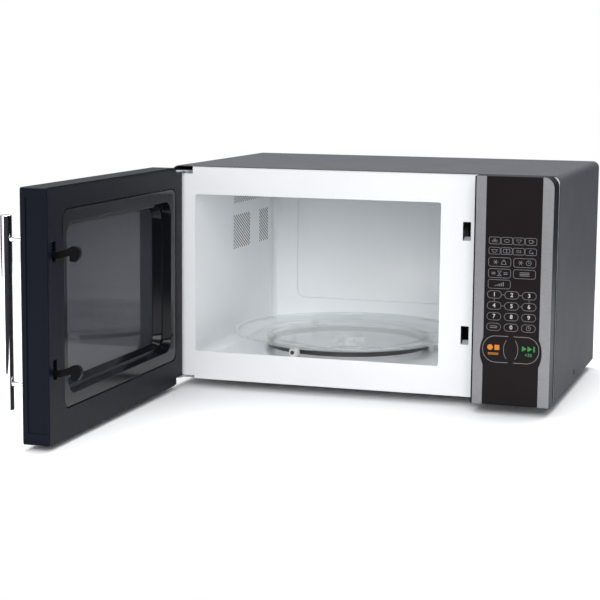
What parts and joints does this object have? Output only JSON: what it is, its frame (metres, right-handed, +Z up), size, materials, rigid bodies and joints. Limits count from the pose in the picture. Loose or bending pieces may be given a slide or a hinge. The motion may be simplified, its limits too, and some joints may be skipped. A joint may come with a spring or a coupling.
{
  "type": "microwave oven",
  "caption": "Countertop microwave oven with a side-hung door standing open, glass turntable, keypad panel and the machinery inside.",
  "frame": {"origin": "on the worktop plane, under the middle of the cabinet (door and handle not counted)", "axes": "+X to the user's right, +Y towards the back, +Z up; the door stands open at 89.6 degrees, towards -Y"},
  "size_m": [0.5633, 0.7534, 0.296],
  "materials": {
    "wrapper_paint": "satin dark grey powder paint",
    "oven_enamel": "gloss white enamel",
    "zinc_steel": "zinc-plated sheet, satin",
    "stainless": "brushed, grain across the strips",
    "chrome": "polished",
    "black_plastic": "black, half gloss",
    "bezel_plastic": "black, high gloss",
    "keypad_film": "black polyester film, gloss",
    "dark_glass": "smoked",
    "clear_film": "clear",
    "clear_glass": "clear, faint green at the edges",
    "white_plastic": "white acetal",
    "ring_plastic": "dark brown-grey",
    "hook_plastic": "black acetal",
    "grey_plastic": "grey moulded",
    "rubber": "black",
    "mica": "mica sheet",
    "lamination": "varnished laminations",
    "copper": "enamelled copper",
    "aluminium": "plain",
    "board": "circuit board with its parts",
    "bulb": "clear",
    "wire": "insulated wires",
    "spring_steel": "plain"
  },
  "bodies": {
    "cabinet": {"outer_wrapper": "wrapper_paint", "base_plate": "zinc_steel", "rear_panel": "wrapper_paint", "front_plate": "oven_enamel", "cavity_floor_pan": "oven_enamel", "cavity_left_wall": "oven_enamel", "cavity_right_wall": "oven_enamel", "cavity_ceiling": "oven_enamel", "cavity_back_pan": "oven_enamel", "feet": "rubber", "case_screws": "wrapper_paint", "cord_grommet": "rubber", "upper_hinge": "zinc_steel", "lower_hinge": "zinc_steel", "latch_board": "grey_plastic", "upper_switch": "black_plastic", "lower_switch": "black_plastic", "control_panel_frame": "black_plastic", "panel_trim_left": "stainless", "panel_trim_right": "stainless", "keypad_overlay": "keypad_film", "control_board": "board", "display_module": "dark_glass", "waveguide": "zinc_steel", "mica_cover": "mica", "magnetron": "aluminium", "air_duct": "grey_plastic", "exhaust_duct": "grey_plastic", "transformer_core": "lamination", "transformer_windings": "copper", "hv_capacitor": "aluminium", "hv_diode": "black_plastic", "fan_shroud": "grey_plastic", "fan_motor": "lamination", "oven_lamp": "bulb", "filter_board": "board", "thermal_cutouts": "black_plastic", "wire_harness": "wire", "turntable_motor": "zinc_steel"},
    "door": {"door_frame": "black_plastic", "door_front_skin": "bezel_plastic", "door_outer_glass": "dark_glass", "door_choke_cover": "bezel_plastic", "door_inner_pane": "clear_film", "door_screen": "zinc_steel", "handle_bar": "chrome", "handle_posts": "chrome", "handle_screws": "zinc_steel"},
    "latch": {"latch_hooks": "hook_plastic", "latch_spring": "spring_steel"},
    "upper_plunger": {"upper_switch_plunger": "white_plastic"},
    "lower_plunger": {"lower_switch_plunger": "white_plastic"},
    "fan": {"fan_blade": "grey_plastic"},
    "coupler": {"drive_coupler": "white_plastic"},
    "tray": {"glass_tray": "clear_glass"},
    "roller_ring": {"roller_ring": "ring_plastic"},
    "roller_1": {"roller_1": "white_plastic"},
    "roller_2": {"roller_2": "white_plastic"},
    "roller_3": {"roller_3": "white_plastic"}
  },
  "joints": [
    {"name": "door_hinge", "type": "hinge", "parent": "cabinet", "child": "door", "pos_m": [-0.2461, -0.1802, 0.15], "axis": [0, 0, -1], "range_deg": [-89.6, 15.4]},
    {"name": "latch_slide", "type": "slide", "parent": "door", "child": "latch", "axis": [0, 0, 1], "range_m": [0, 0.003], "stiffness_N_per_m": 300, "springref_m": -0.006, "deforming": ["latch_spring"]},
    {"name": "upper_plunger_slide", "type": "slide", "parent": "cabinet", "child": "upper_plunger", "axis": [0, 1, 0], "range_m": [0, 0.0015], "stiffness_N_per_m": 250, "springref_m": -0.002},
    {"name": "lower_plunger_slide", "type": "slide", "parent": "cabinet", "child": "lower_plunger", "axis": [0, 1, 0], "range_m": [0, 0.0015], "stiffness_N_per_m": 250, "springref_m": -0.002},
    {"name": "fan_spin", "type": "hinge", "parent": "cabinet", "child": "fan", "pos_m": [0.1835, 0.139, 0.177], "axis": [0, 1, 0], "continuous": true},
    {"name": "turntable_spin", "type": "hinge", "parent": "cabinet", "child": "coupler", "pos_m": [-0.0592, -0.008, 0.045], "axis": [0, 0, 1], "continuous": true},
    {"name": "tray_lift", "type": "slide", "parent": "coupler", "child": "tray", "axis": [0, 0, 1], "range_m": [0, 0.06]},
    {"name": "ring_spin", "type": "hinge", "parent": "cabinet", "child": "roller_ring", "pos_m": [-0.0592, -0.008, 0.047], "axis": [0, 0, 1], "continuous": true},
    {"name": "roller_1_spin", "type": "hinge", "parent": "roller_ring", "child": "roller_1", "pos_m": [-0.1011, -0.12311, 0.04715], "axis": [-0.342, -0.9397, 0], "continuous": true},
    {"name": "roller_2_spin", "type": "hinge", "parent": "roller_ring", "child": "roller_2", "pos_m": [0.06144, 0.01327, 0.04715], "axis": [0.9848, 0.1736, 0], "continuous": true},
    {"name": "roller_3_spin", "type": "hinge", "parent": "roller_ring", "child": "roller_3", "pos_m": [-0.13794, 0.08584, 0.04715], "axis": [-0.6428, 0.766, 0], "continuous": true}
  ],
  "couplings": [
    {"joint": "ring_spin", "follows": "turntable_spin", "ratio": 0.5},
    {"joint": "roller_1_spin", "follows": "turntable_spin", "ratio": -8.9416},
    {"joint": "roller_2_spin", "follows": "turntable_spin", "ratio": -8.9416},
    {"joint": "roller_3_spin", "follows": "turntable_spin", "ratio": -8.9416}
  ]
}
